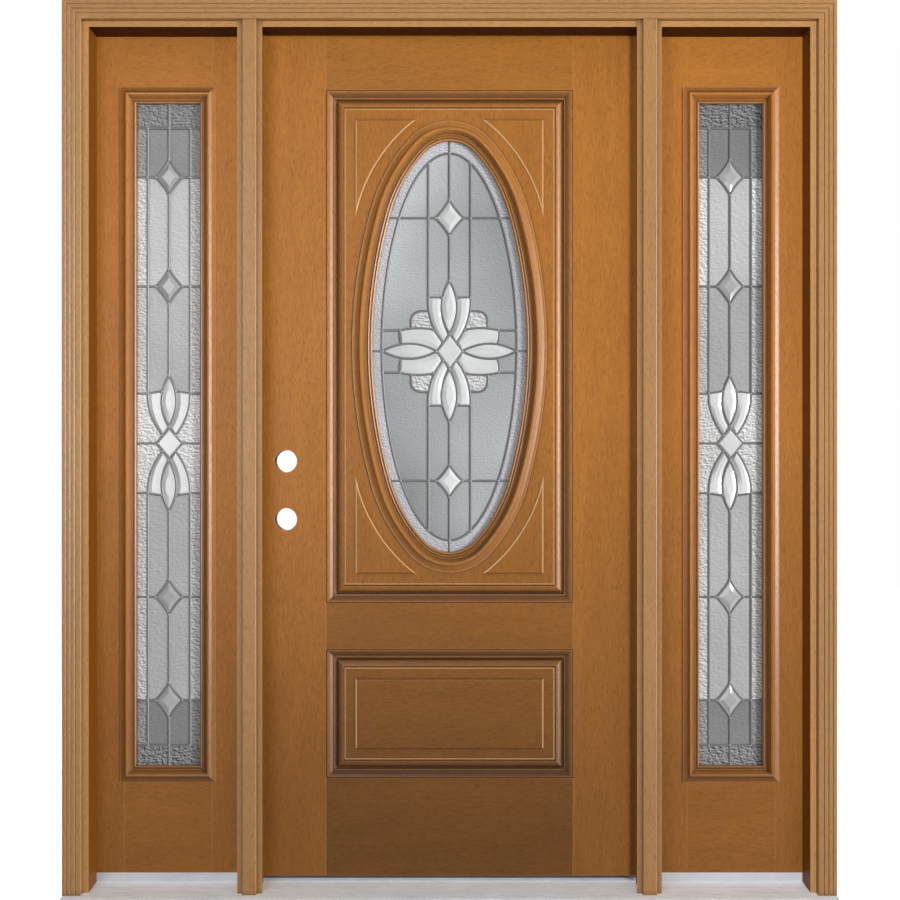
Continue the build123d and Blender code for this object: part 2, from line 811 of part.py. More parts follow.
with BuildPart() as sidelite_glass:
    with BuildSketch(upright_plane(glass_face)):
        with Locations((sidelite_light_x, sidelite_light_z)):
            Rectangle(sidelite_light_width + 2 * glass_bite, sidelite_light_height + 2 * glass_bite)
    extrude(amount=-glass_thickness)
write(sidelite_glass, "right_sidelite_glass")
write_twin(sidelite_glass, "left_sidelite_glass", unit_mirror)
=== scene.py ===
# %% [markdown]
# # A front door unit with an oval leaded light
#
# The real object is a prehung entrance: a panelled leaf with an oval light, a fixed sidelite on each
# side, and the jambs, brickmould casing and metal sill that carry them. The solids come from the packed
# CAD model and stay where they are. This lesson adds what the solids leave out: stained wood, brushed
# metal, and the lead came, bevels and textured panes of the three lights.

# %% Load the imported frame
import math

import bmesh
import bpy
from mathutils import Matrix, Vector
from mathutils.geometry import tessellate_polygon


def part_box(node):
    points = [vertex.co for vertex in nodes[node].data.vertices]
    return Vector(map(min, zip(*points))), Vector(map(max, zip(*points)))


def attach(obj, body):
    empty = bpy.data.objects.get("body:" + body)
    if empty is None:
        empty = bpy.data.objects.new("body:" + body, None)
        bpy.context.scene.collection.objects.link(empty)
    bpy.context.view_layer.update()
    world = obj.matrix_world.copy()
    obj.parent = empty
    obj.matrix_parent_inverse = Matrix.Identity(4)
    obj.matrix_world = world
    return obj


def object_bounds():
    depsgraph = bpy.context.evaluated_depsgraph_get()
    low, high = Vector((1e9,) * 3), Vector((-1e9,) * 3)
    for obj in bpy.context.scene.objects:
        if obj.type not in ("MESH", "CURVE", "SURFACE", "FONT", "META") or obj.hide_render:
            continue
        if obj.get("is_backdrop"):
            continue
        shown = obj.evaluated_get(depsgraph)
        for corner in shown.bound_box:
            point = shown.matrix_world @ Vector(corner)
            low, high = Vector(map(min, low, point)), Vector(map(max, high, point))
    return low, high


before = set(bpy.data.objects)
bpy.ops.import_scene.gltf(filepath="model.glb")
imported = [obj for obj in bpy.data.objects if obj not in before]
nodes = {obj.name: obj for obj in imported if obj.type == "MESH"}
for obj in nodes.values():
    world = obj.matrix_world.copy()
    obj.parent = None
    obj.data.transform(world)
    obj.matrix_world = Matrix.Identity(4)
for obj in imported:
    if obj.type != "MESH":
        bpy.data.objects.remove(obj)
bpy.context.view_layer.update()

# %% [markdown]
# ## Shared effects as node groups
#
# Stained wood, worn arrises, stain that settles in the quirks and the figure of rolled glass turn up in
# several finishes. They could be copied into each material, but then every change has to be made many
# times. A shader node group is built once and placed in each material with its own values. The groups
# put out only colours, masks and heights, and each material keeps its own shader.

# %% A helper for node groups


def new_group(name, inputs, outputs):
    """Make an empty shader group with named sockets and return it with its input and output nodes."""
    group = bpy.data.node_groups.new(name, "ShaderNodeTree")
    for socket, kind, value in inputs:
        item = group.interface.new_socket(socket, in_out="INPUT", socket_type="NodeSocket" + kind)
        if value is not None:
            item.default_value = value
    for socket, kind in outputs:
        group.interface.new_socket(socket, in_out="OUTPUT", socket_type="NodeSocket" + kind)
    return group, group.nodes.new("NodeGroupInput"), group.nodes.new("NodeGroupOutput")


def add(tree, kind, **settings):
    """Add a node to a tree and set its plain properties."""
    node = tree.nodes.new("ShaderNode" + kind)
    for name, value in settings.items():
        setattr(node, name, value)
    return node


def math_node(tree, operation, first, second):
    """Add a math node whose two inputs are sockets or numbers, and return its output."""
    node = add(tree, "Math", operation=operation)
    for socket, value in zip(node.inputs, (first, second)):
        if isinstance(value, (int, float)):
            socket.default_value = value
        else:
            tree.links.new(value, socket)
    return node.outputs[0]


def ramp(tree, factor, stops):
    """Add a colour ramp with grey stops, given as places and values, and return its colour."""
    node = add(tree, "ValToRGB")
    elements = node.color_ramp.elements
    while len(elements) < len(stops):
        elements.new(0.5)
    for element, (place, value) in zip(elements, stops):
        element.position = place
        element.color = (value, value, value, 1)
    tree.links.new(factor, node.inputs["Fac"])
    return node.outputs["Color"]


def mix_colours(tree, blend, factor, first, second):
    """Mix two colours, given as sockets or as plain values, and return the result."""
    node = add(tree, "Mix", data_type="RGBA", blend_type=blend)
    for socket, value in ((node.inputs[0], factor), (node.inputs[6], first), (node.inputs[7], second)):
        if isinstance(value, (int, float, tuple)):
            socket.default_value = value
        else:
            tree.links.new(value, socket)
    return node.outputs[2]


def noise(tree, vector, scale, detail, roughness=0.55, distortion=0.0):
    """Add a noise texture and return its value."""
    node = add(tree, "TexNoise")
    node.inputs["Scale"].default_value = scale
    node.inputs["Detail"].default_value = detail
    node.inputs["Roughness"].default_value = roughness
    node.inputs["Distortion"].default_value = distortion
    tree.links.new(vector, node.inputs["Vector"])
    return node.outputs["Fac"]


print("helpers for node groups are ready")

# %% [markdown]
# ### Stained grain
#
# The leaf and the casing carry a wiped stain over a fine straight grain: soft streaks as wide as a
# finger, fibres a few millimetres wide, and short dark pores. A wave texture would give neat rings,
# which this grain doesn't have. Three noises read in a stretched space give the streaks, the fibres and
# the pores, and the material chooses which way the space is stretched.

# %% The grain group
grain, grain_in, grain_out = new_group(
    "stained_grain",
    [
        ("Vector", "Vector", None),
        ("Pale Stain", "Color", (0.4, 0.2, 0.06, 1)),
        ("Deep Stain", "Color", (0.2, 0.08, 0.02, 1)),
        ("Pores", "Float", 0.5),
    ],
    [("Color", "Color"), ("Roughness", "Float"), ("Height", "Float")],
)
grain_space = grain_in.outputs["Vector"]
streaks = noise(grain, grain_space, 22, 2, 0.5, 0.4)
fibres = noise(grain, grain_space, 300, 3, 0.65, 0.3)
pores = ramp(grain, noise(grain, grain_space, 520, 1), [(0.5, 0), (0.7, 1)])
tone = math_node(grain, "ADD", math_node(grain, "MULTIPLY", streaks, 0.35), math_node(grain, "MULTIPLY", fibres, 0.65))
tone = ramp(grain, tone, [(0.3, 0), (0.7, 1)])
stain = mix_colours(grain, "MIX", tone, grain_in.outputs["Deep Stain"], grain_in.outputs["Pale Stain"])
pore_depth = math_node(grain, "MULTIPLY", pores, grain_in.outputs["Pores"])
stain = mix_colours(grain, "MULTIPLY", pore_depth, stain, (0.42, 0.36, 0.3, 1))
grain.links.new(stain, grain_out.inputs["Color"])
satin = math_node(grain, "ADD", math_node(grain, "MULTIPLY", fibres, 0.22), 0.3)
grain.links.new(math_node(grain, "ADD", satin, math_node(grain, "MULTIPLY", pores, 0.12)), grain_out.inputs["Roughness"])
relief = math_node(grain, "SUBTRACT", math_node(grain, "MULTIPLY", fibres, 0.6), pore_depth)
grain.links.new(relief, grain_out.inputs["Height"])
print(f"group {grain.name}: {len(grain.nodes)} nodes")

# %% [markdown]
# ### Pale arrises with wear and highlight, painted shade in the quirks
#
# The sharp arrises are paler: partly wear, where a rag and later hands rub the stain off, and partly a
# painted highlight. The quirks are darker, which is painted shade. Vertex paint could mark both, but the
# CAD meshes have large flat faces. The ambient occlusion node finds them on any mesh: rays sent outwards
# find the quirks, and rays sent inwards find the arrises. Flat boards look only at themselves. Mouldings
# also look at the boards they are set in, so the line between two pieces gets painted shade too. On the
# lead the same outward rays mark the dark patina in its valleys.

# %% The edge groups


def occlusion_group(name, inside, alone):
    """Make a group that masks arrises, from rays sent inwards, or quirks, from rays sent outwards."""
    group, start, end = new_group(name, [("Distance", "Float", 0.004), ("Amount", "Float", 0.5)], [("Mask", "Float")])
    rays = add(group, "AmbientOcclusion", samples=2, inside=inside, only_local=alone)
    group.links.new(start.outputs["Distance"], rays.inputs["Distance"])
    hidden = math_node(group, "SUBTRACT", 1.0, rays.outputs["AO"])
    strong = add(group, "Math", operation="MULTIPLY", use_clamp=True)
    group.links.new(hidden, strong.inputs[0])
    group.links.new(start.outputs["Amount"], strong.inputs[1])
    group.links.new(strong.outputs[0], end.inputs["Mask"])
    return group


# The arris mask is wear and in part a painted highlight; the outward masks are painted shade in quirks and between
# pieces, and patina on the lead.
arris_wear_and_highlight = occlusion_group("arris_wear_and_highlight", True, True)
settled_stain = occlusion_group("settled_stain", False, True)
stain_between = occlusion_group("stain_between_pieces", False, False)
print("groups", arris_wear_and_highlight.name, settled_stain.name, stain_between.name)

# %% [markdown]
# ### Painted shade at the foot
#
# The finish is painted darker towards its foot, as painted shade. A gradient along the height, broken by
# a slow noise, is enough: the group turns a height in metres into a factor for the colour.

# %% The painted foot shade group
weather, painted_foot_shade_in, painted_foot_shade_out = new_group(
    "painted_foot_shade_at_foot",
    [("Vector", "Vector", None), ("Darkest", "Float", 0.7)],
    [("Color", "Color")],
)
split_place = add(weather, "SeparateXYZ")
weather.links.new(painted_foot_shade_in.outputs["Vector"], split_place.inputs[0])
height_share = add(weather, "MapRange", interpolation_type="SMOOTHSTEP")
height_share.inputs["From Min"].default_value = 0.0
height_share.inputs["From Max"].default_value = 1.4
weather.links.new(split_place.outputs["Z"], height_share.inputs["Value"])
weather.links.new(painted_foot_shade_in.outputs["Darkest"], height_share.inputs["To Min"])
drift = math_node(weather, "MULTIPLY", math_node(weather, "SUBTRACT", noise(weather, painted_foot_shade_in.outputs["Vector"], 2.2, 2), 0.5), 0.16)
shade = math_node(weather, "ADD", height_share.outputs["Result"], drift)
weather.links.new(shade, painted_foot_shade_out.inputs["Color"])
print(f"group {weather.name}: {len(weather.nodes)} nodes")

# %% [markdown]
# ## Wood finishes
#
# Two stains show: an amber one on the leaf and sidelites, and a paler tan one on the casing. On stiles
# and uprights the grain runs up, and on rails and heads it runs across, so each stain needs both. One
# function makes a wood from a stain and a direction. The mapping node shortens the coordinate along the
# grain, which draws the noise out into fibres. The bevels of the fields that look sideways are painted
# pale, a painted highlight, and the mouldings have a thin coat of varnish. On the level members of a
# moulding one slope is painted darker, as painted shade.

# %% Make the wood materials


def new_material(name):
    """Make a material with an empty principled shader and return it with its tree and shader."""
    material = bpy.data.materials.new(name)
    material.use_nodes = True
    tree = material.node_tree
    return material, tree, tree.nodes["Principled BSDF"]


def place(tree, group, **values):
    """Put a shared group into a material and set its plain inputs."""
    node = add(tree, "Group", node_tree=group)
    for name, value in values.items():
        node.inputs[name.replace("_", " ")].default_value = value
    return node


def bump(tree, shader, height, strength, distance):
    """Feed a height into the shader's normal through a bump node."""
    node = add(tree, "Bump")
    node.inputs["Strength"].default_value = strength
    node.inputs["Distance"].default_value = distance
    tree.links.new(height, node.inputs["Height"])
    tree.links.new(node.outputs["Normal"], shader.inputs["Normal"])


ALONG = {"up": (1, 1, 0.13), "across": (0.13, 1, 1)}


def wood(name, stains, direction, darkest, crevices=None, rubbed_and_highlit=1.0, crease_shade_amount=2.2, shadow_side=None, coat=0.0, bevel_highlight=None, level_shade=None):
    """Make a stained wood whose grain runs up or across, with painted shade or painted highlights where it has them."""
    pale, deep, worn_and_highlit = stains
    material, tree, shader = new_material(name)
    place_on = add(tree, "TexCoord")
    stretch = add(tree, "Mapping")
    stretch.inputs["Scale"].default_value = ALONG[direction]
    tree.links.new(place_on.outputs["Object"], stretch.inputs["Vector"])
    figure = place(tree, grain, Pale_Stain=(*pale, 1), Deep_Stain=(*deep, 1), Pores=0.4)
    tree.links.new(stretch.outputs["Vector"], figure.inputs["Vector"])
    # Painted shade: darker towards the foot.
    foot = place(tree, weather, Darkest=darkest)
    tree.links.new(place_on.outputs["Object"], foot.inputs["Vector"])
    colour = mix_colours(tree, "MULTIPLY", 1.0, figure.outputs["Color"], foot.outputs["Color"])
    # Paler arrises: wear, and in part a painted highlight.
    arris = place(tree, arris_wear_and_highlight, Distance=0.0018, Amount=rubbed_and_highlit)
    colour = mix_colours(tree, "MIX", arris.outputs["Mask"], colour, (*worn_and_highlit, 1))
    # Painted shade: the quirks, and on mouldings the lines between pieces, are darkened.
    quirks = place(tree, crevices or settled_stain, Distance=0.015, Amount=crease_shade_amount)
    colour = mix_colours(tree, "MULTIPLY", quirks.outputs["Mask"], colour, (0.1, 0.068, 0.045, 1))
    # Painted shade on the faces that look sideways, up or down: the returns of the jambs, head and mullions.
    if shadow_side:
        facing = add(tree, "SeparateXYZ")
        tree.links.new(place_on.outputs["Normal"], facing.inputs[0])
        sideways = math_node(tree, "MAXIMUM", math_node(tree, "ABSOLUTE", facing.outputs["X"], 0), math_node(tree, "ABSOLUTE", facing.outputs["Z"], 0))
        side = ramp(tree, sideways, [(0.75, 0), (0.9, 1)])
        colour = mix_colours(tree, "MIX", side, colour, (*shadow_side, 1))
    # Painted shade on one slope of each level member of a moulding.
    if level_shade:
        middle_z, turned = level_shade
        facing, at = add(tree, "SeparateXYZ"), add(tree, "SeparateXYZ")
        tree.links.new(place_on.outputs["Normal"], facing.inputs[0])
        tree.links.new(place_on.outputs["Object"], at.inputs[0])
        is_upper = math_node(tree, "GREATER_THAN", at.outputs["Z"], middle_z)
        away = math_node(tree, "MULTIPLY", facing.outputs["Z"], math_node(tree, "SUBTRACT", math_node(tree, "MULTIPLY", is_upper, 2.0), 1.0))
        level_slope = ramp(tree, math_node(tree, "MULTIPLY", away, turned), [(0.12, 0), (0.45, 1)])
        colour = mix_colours(tree, "MULTIPLY", level_slope, colour, (*PAINTED_LEVEL_SHADE, 1))
    # Painted highlight on the bevels that look left, weaker on those that look right.
    if bevel_highlight:
        facing = add(tree, "SeparateXYZ")
        tree.links.new(place_on.outputs["Normal"], facing.inputs[0])
        near_side = ramp(tree, math_node(tree, "MULTIPLY", facing.outputs["X"], -1.0), [(0.15, 0), (0.45, 1)])
        far_side = ramp(tree, facing.outputs["X"], [(0.15, 0), (0.45, 0.3)])
        colour = mix_colours(tree, "MIX", math_node(tree, "ADD", near_side, far_side), colour, (*bevel_highlight, 1))
    tree.links.new(colour, shader.inputs["Base Color"])
    tree.links.new(figure.outputs["Roughness"], shader.inputs["Roughness"])
    bump(tree, shader, figure.outputs["Height"], 0.35, 0.0006)
    shader.inputs["Specular IOR Level"].default_value = 0.08 if shadow_side else 0.28
    shader.inputs["Coat Weight"].default_value = coat
    shader.inputs["Coat Roughness"].default_value = 0.32
    return material


AMBER = ((0.4, 0.152, 0.021), (0.295, 0.107, 0.0135), (0.7, 0.42, 0.2))
DEEP_AMBER = ((0.36, 0.137, 0.018), (0.265, 0.097, 0.012), (0.7, 0.43, 0.21))
CASING = ((0.37, 0.19, 0.067), (0.305, 0.152, 0.051), (0.44, 0.25, 0.1))
JAMB = ((0.46, 0.245, 0.092), (0.385, 0.2, 0.072), (0.52, 0.3, 0.12))
# Painted shade for one slope of the level members.
PAINTED_LEVEL_SHADE = (0.5, 0.46, 0.42)
# Painted shade for the returns, near black under the head.
PAINTED_RETURN_SHADE, PAINTED_HEAD_SHADE = (0.15, 0.05, 0.005), (0.045, 0.006, 0.0004)

# Painted highlight for the bevels that look sideways.
PAINTED_BEVEL_HIGHLIGHT = (0.92, 0.6, 0.3)
amber_up = wood("amber_stain_up", AMBER, "up", 0.53, rubbed_and_highlit=0.3)
amber_across = wood("amber_stain_across", DEEP_AMBER, "across", 0.35, rubbed_and_highlit=0.3)
panel_up = wood("panel_stain_up", DEEP_AMBER, "up", 0.43, stain_between, bevel_highlight=PAINTED_BEVEL_HIGHLIGHT)
panel_across = wood("panel_stain_across", DEEP_AMBER, "across", 0.33, stain_between, bevel_highlight=PAINTED_BEVEL_HIGHLIGHT)
moulded_up = wood("moulded_stain_up", DEEP_AMBER, "up", 0.43, stain_between, crease_shade_amount=3.0, coat=0.3, level_shade=(1.312, -1.0))
moulded_across = wood("moulded_stain_across", DEEP_AMBER, "across", 0.33, stain_between, crease_shade_amount=3.0, coat=0.3, level_shade=(0.429, -1.0))
oval_moulded = wood("oval_frame_stain", DEEP_AMBER, "up", 0.43, stain_between, 1.6, 3.2, coat=0.3)
side_up = wood("sidelite_stain_up", AMBER, "up", 0.56, rubbed_and_highlit=0.2)
side_across = wood("sidelite_stain_across", AMBER, "across", 0.56, rubbed_and_highlit=0.2)
side_moulded = wood("sidelite_stain_moulded", AMBER, "up", 0.56, stain_between, crease_shade_amount=3.0, coat=0.3, level_shade=(1.095, 1.0))
tan_up = wood("tan_stain_up", CASING, "up", 0.83, stain_between, 0.6, 0.8, coat=0.3)
tan_across = wood("tan_stain_across", CASING, "across", 1.0, stain_between, 0.6, 0.8, coat=0.3)
jamb_up = wood("jamb_stain_up", JAMB, "up", 0.83, settled_stain, 0.6, 0.8, PAINTED_RETURN_SHADE)
jamb_across = wood("jamb_stain_across", JAMB, "across", 1.0, settled_stain, 0.6, 0.8, PAINTED_HEAD_SHADE)
print("woods:", [m.name for m in bpy.data.materials if "stain" in m.name])

# %% [markdown]
# ## Metal, rubber and raw timber
#
# The sill deck and cap are extruded aluminium, drawn along the width, so fine lines run across. The
# hinges are satin brass, the seals are matt rubber, and the sill's core is raw softwood. Each could be a
# single colour, but even plain stock shows drawing lines, finger marks and dust, so each gets its own.
# On the sill deck the upper faces get a painted top light instead of dust.

# %% Make the hardware materials


def hardware(name, colour, metallic, roughness, lines, line_scale, top, top_share, patina=0.0):
    """Make a drawn or moulded stock material with fine lines, smudges and a changed tone on top: dust, and on the sill
    deck a painted top light.
    """
    material, tree, shader = new_material(name)
    place_on = add(tree, "TexCoord")
    stretch = add(tree, "Mapping")
    stretch.inputs["Scale"].default_value = lines
    tree.links.new(place_on.outputs["Object"], stretch.inputs["Vector"])
    drawn = noise(tree, stretch.outputs["Vector"], line_scale, 4, 0.6)
    smudge = noise(tree, place_on.outputs["Object"], 14, 3, 0.6)
    mottle = math_node(tree, "ADD", math_node(tree, "MULTIPLY", drawn, 0.5), math_node(tree, "MULTIPLY", smudge, 0.5))
    tint = ramp(tree, mottle, [(0.3, 0.72), (0.7, 1.0)])
    shown = mix_colours(tree, "MULTIPLY", 1.0, (*colour, 1), tint)
    facing = add(tree, "SeparateXYZ")
    tree.links.new(place_on.outputs["Normal"], facing.inputs[0])
    # On top: dust, and on the sill deck a painted top light.
    settled = math_node(tree, "MULTIPLY", ramp(tree, facing.outputs["Z"], [(0.6, 0), (0.95, 1)]), math_node(tree, "MULTIPLY", drawn, top_share))
    shown = mix_colours(tree, "MIX", settled, shown, (*top, 1))
    # Paler arrises: wear, and in part a painted highlight.
    arris = place(tree, arris_wear_and_highlight, Distance=0.0012, Amount=0.35)
    shown = mix_colours(tree, "SCREEN", arris.outputs["Mask"], shown, (0.35, 0.35, 0.35, 1))
    if patina:
        tarnish = place(tree, stain_between, Distance=0.004, Amount=patina)
        shown = mix_colours(tree, "MULTIPLY", tarnish.outputs["Mask"], shown, (0.12, 0.11, 0.13, 1))
    tree.links.new(shown, shader.inputs["Base Color"])
    sheen = math_node(tree, "ADD", math_node(tree, "MULTIPLY", smudge, 0.25), roughness - 0.12)
    tree.links.new(sheen, shader.inputs["Roughness"])
    shader.inputs["Metallic"].default_value = metallic
    bump(tree, shader, drawn, 0.2, 0.0003)
    return material


# Top colours: dust, and a painted top light for the sill deck.
DUST, PAINTED_TOP_LIGHT = (0.52, 0.49, 0.45), (0.98, 0.99, 1.0)
mill_aluminium = hardware("mill_aluminium", (0.5, 0.51, 0.54), 0.1, 0.45, (0.02, 1, 1), 900, PAINTED_TOP_LIGHT, 1.6)
dull_aluminium = hardware("dull_aluminium", (0.44, 0.44, 0.46), 0.15, 0.5, (0.02, 1, 1), 900, DUST, 0.1)
satin_brass = hardware("satin_brass", (0.62, 0.45, 0.19), 1.0, 0.3, (1, 1, 0.05), 1400, DUST, 0.1)
seal_rubber = hardware("seal_rubber", (0.05, 0.038, 0.03), 0.0, 0.6, (1, 1, 1), 500, DUST, 0.2)
RAW = ((0.42, 0.3, 0.17), (0.3, 0.2, 0.1), (0.5, 0.38, 0.25))
raw_softwood = wood("raw_softwood", RAW, "across", 0.9)
print("hardware:", mill_aluminium.name, satin_brass.name, seal_rubber.name, raw_softwood.name)

# %% [markdown]
# ## Glass and lead
#
# Three kinds of glass fill the lights: fine-grained obscure glass in the broad panes, hammered glass in
# the borders, and clear bevels in the flower and the diamonds. Real relief on every pane would take
# millions of faces, so the figure is a height fed into a bump, and its slope goes into the colour as
# painted shade and painted reflection, light on one side of each small lens and dark on the other. Two
# readings of one noise, a short step apart, give that slope. The came is soft lead, dull in the valleys
# and brighter on its crown.

# %% The rolled figure of obscure glass
rolled, rolled_in, rolled_out = new_group(
    "rolled_glass_figure_and_painted_shade",
    [("Vector", "Vector", None), ("Scale", "Float", 200.0), ("Sharpness", "Float", 0.5)],
    [("Figure", "Float"), ("Height", "Float")],
)


def ripple(vector):
    """Add the rolled glass's wavy noise, read at a place."""
    node = add(rolled, "TexNoise")
    node.inputs["Detail"].default_value = 1.5
    node.inputs["Distortion"].default_value = 0.8
    rolled.links.new(vector, node.inputs["Vector"])
    rolled.links.new(rolled_in.outputs["Scale"], node.inputs["Scale"])
    return node.outputs["Fac"]


wide = add(rolled, "VectorMath", operation="MULTIPLY")
wide.inputs[1].default_value = (1.0, 1.0, 1.7)
rolled.links.new(rolled_in.outputs["Vector"], wide.inputs[0])
step_on = add(rolled, "VectorMath", operation="SCALE")
step_on.inputs[0].default_value = (0.25, 0.0, 0.4)
rolled.links.new(math_node(rolled, "DIVIDE", 1.0, rolled_in.outputs["Scale"]), step_on.inputs["Scale"])
beside = add(rolled, "VectorMath", operation="ADD")
rolled.links.new(wide.outputs[0], beside.inputs[0])
rolled.links.new(step_on.outputs[0], beside.inputs[1])
hill = ripple(wide.outputs[0])
# Painted shade and reflection: the step between two readings lights one side of each small lens and darkens the other.
slope = math_node(rolled, "SUBTRACT", hill, ripple(beside.outputs[0]))
sharp = math_node(rolled, "ADD", math_node(rolled, "MULTIPLY", slope, math_node(rolled, "MULTIPLY", rolled_in.outputs["Sharpness"], 6.0)), 0.5)
clipped = add(rolled, "Clamp")
rolled.links.new(sharp, clipped.inputs["Value"])
rolled.links.new(clipped.outputs["Result"], rolled_out.inputs["Figure"])
rolled.links.new(hill, rolled_out.inputs["Height"])
print(f"group {rolled.name}: {len(rolled.nodes)} nodes")

# %% [markdown]
# ### The painted light of each pane
#
# Obscure glass passes the blurred light of what stands behind it, and that light is painted into each
# pane as its tone. In the sidelites the tone changes at every level came. Across the oval it drifts:
# lighter at the upper left and the lower right. Two groups turn a place on the object into that tone.

# %% The tone groups
by_pane, by_pane_in, by_pane_out = new_group("painted_light_by_pane", [("Vector", "Vector", None)], [("Tone", "Color")])
pane_place = add(by_pane, "SeparateXYZ")
by_pane.links.new(by_pane_in.outputs["Vector"], pane_place.inputs[0])
LEVEL_TONES = [(0.0, 0.42), (0.46, 0.88), (0.709, 0.8), (0.96, 1.0), (1.2, 0.77), (1.458, 0.97), (1.721, 0.43)]
FOOT_TONE = LEVEL_TONES[0][1]
pane_tone = FOOT_TONE
for (level, tone), (_, tone_below) in zip(LEVEL_TONES[1:], LEVEL_TONES):
    is_above = math_node(by_pane, "GREATER_THAN", pane_place.outputs["Z"], level)
    pane_tone = math_node(by_pane, "ADD", pane_tone, math_node(by_pane, "MULTIPLY", is_above, tone - tone_below))
by_pane.links.new(pane_tone, by_pane_out.inputs["Tone"])

by_drift, by_drift_in, by_drift_out = new_group("painted_light_across_oval", [("Vector", "Vector", None)], [("Tone", "Color")])
drift_place = add(by_drift, "SeparateXYZ")
by_drift.links.new(by_drift_in.outputs["Vector"], drift_place.inputs[0])
above_middle = math_node(by_drift, "SUBTRACT", drift_place.outputs["Z"], 1.3)
lean = math_node(by_drift, "SUBTRACT", 0.28, math_node(by_drift, "MULTIPLY", drift_place.outputs["X"], 6.5))
by_drift.links.new(math_node(by_drift, "ADD", 1.0, math_node(by_drift, "MULTIPLY", above_middle, lean)), by_drift_out.inputs["Tone"])
print("groups", by_pane.name, by_drift.name)

# %% [markdown]
# ### The glasses and the lead
#
# Every glass is one function with its own scale, contrast and tone. A little transmission lets light
# through, and the figure goes into the colour and the bump. The greys are painted light, for what shows
# through the glass and off it: whitest in the petals, darker in the diamonds and darkest in the end panes.

# %% Make the glass and lead materials


def obscure_glass(name, dark, light, scale, sharpness, roughness, transmission, relief, tones=None):
    """Make a rolled glass whose figure shows in its colour and its relief."""
    material, tree, shader = new_material(name)
    place_on = add(tree, "TexCoord")
    figure = place(tree, rolled, Scale=scale, Sharpness=sharpness)
    tree.links.new(place_on.outputs["Object"], figure.inputs["Vector"])
    cloud = noise(tree, place_on.outputs["Object"], 3.2, 2)
    pane = mix_colours(tree, "MIX", figure.outputs["Figure"], (*dark, 1), (*light, 1))
    pane = mix_colours(tree, "MULTIPLY", 0.35, pane, ramp(tree, cloud, [(0.35, 0.4), (0.65, 1.0)]))
    if tones:
        tone = place(tree, tones)
        tree.links.new(place_on.outputs["Object"], tone.inputs["Vector"])
        pane = mix_colours(tree, "MULTIPLY", 1.0, pane, tone.outputs["Tone"])
    tree.links.new(pane, shader.inputs["Base Color"])
    shader.inputs["Roughness"].default_value = roughness
    shader.inputs["Transmission Weight"].default_value = transmission
    shader.inputs["IOR"].default_value = 1.5
    bump(tree, shader, figure.outputs["Height"], 0.6, relief)
    return material


oval_glass = obscure_glass("fine_oval_glass", (0.31, 0.325, 0.33), (0.48, 0.5, 0.505), 170, 0.35, 0.35, 0.2, 0.0007, by_drift)
side_glass = obscure_glass("fine_sidelite_glass", (0.42, 0.42, 0.42), (0.63, 0.63, 0.63), 110, 0.3, 0.35, 0.2, 0.0007, by_pane)
border_glass = obscure_glass("hammered_border_glass", (0.26, 0.26, 0.285), (0.8, 0.8, 0.84), 250, 0.6, 0.25, 0.2, 0.0012)
corner_glass = obscure_glass("hammered_corner_glass", (0.3, 0.29, 0.28), (0.9, 0.9, 0.9), 130, 0.7, 0.25, 0.2, 0.0014)
strip_glass = obscure_glass("hammered_strip_glass", (0.33, 0.33, 0.33), (0.97, 0.97, 0.97), 120, 0.5, 0.25, 0.2, 0.0014, by_pane)
end_glass = obscure_glass("hammered_end_glass", (0.05, 0.05, 0.055), (0.36, 0.36, 0.37), 110, 0.6, 0.25, 0.2, 0.0014)
petal_glass = obscure_glass("bevelled_petal_glass", (0.7, 0.72, 0.72), (0.8, 0.82, 0.82), 40, 0.1, 0.06, 0.2, 0.0001)
diamond_glass = obscure_glass("bevelled_diamond_glass", (0.4, 0.4, 0.41), (0.47, 0.47, 0.48), 40, 0.1, 0.06, 0.2, 0.0001)
soft_lead = hardware("soft_lead", (0.2, 0.2, 0.21), 0.6, 0.45, (1, 1, 1), 300, DUST, 0.05, 1.3)
bright_solder = hardware("bright_solder", (0.34, 0.335, 0.34), 0.6, 0.42, (1, 1, 1), 300, DUST, 0.05, 0.6)
print("glass and lead:", [m.name for m in bpy.data.materials if "glass" in m.name], soft_lead.name, bright_solder.name)

# %% [markdown]
# ## Dress the CAD nodes
#
# Each node keeps its shape and gets its finish by its name. Uprights take the grain that runs up, rails
# and heads the grain that runs across, and jambs and mullions have painted shade on their returns.

# %% Give each node its finish
FINISHES = [
    (("oval_glass",), oval_glass),
    (("sidelite_glass",), side_glass),
    (("hinge_leaves", "hinge_pins"), satin_brass),
    (("door_weatherstrip", "door_sweep"), seal_rubber),
    (("sill_base",), raw_softwood),
    (("sill_cap",), dull_aluminium),
    (("sill_deck", "riser"), mill_aluminium),
    (("top_rail", "lock_rail", "bottom_rail"), amber_across),
    (("lock_stile", "hinge_stile"), amber_up),
    (("lower_panel",), panel_across),
    (("upper_panel",), panel_up),
    (("lower_moulding",), moulded_across),
    (("upper_moulding",), moulded_up),
    (("oval_frame",), oval_moulded),
    (("sidelite_rails",), side_across),
    (("sidelite_frame",), side_moulded),
    (("sidelite",), side_up),
    (("head_jamb",), jamb_across),
    (("mullion_cover", "left_brickmould", "right_brickmould"), tan_up),
    (("head_brickmould",), tan_across),
    (("left_jamb", "right_jamb", "mullion"), jamb_up),
]

for name, node in nodes.items():
    finish = next(material for words, material in FINISHES if any(word in name for word in words))
    node.data.materials.clear()
    node.data.materials.append(finish)
print("finishes given to", len(nodes), "nodes")

# %% [markdown]
# ## Tools for leaded work
#
# Came is a half-round lead strip, about 6 mm wide, bent along each line of the pattern and soldered at
# the joints. Curve objects with a bevel could draw it, but a mesh swept by hand keeps one light's lines
# together as one piece. Every line is drawn flat, in millimetres from the middle of the light, and the
# whole drawing is laid on the outer and on the inner face of the glass.

# %% Lines of the pattern


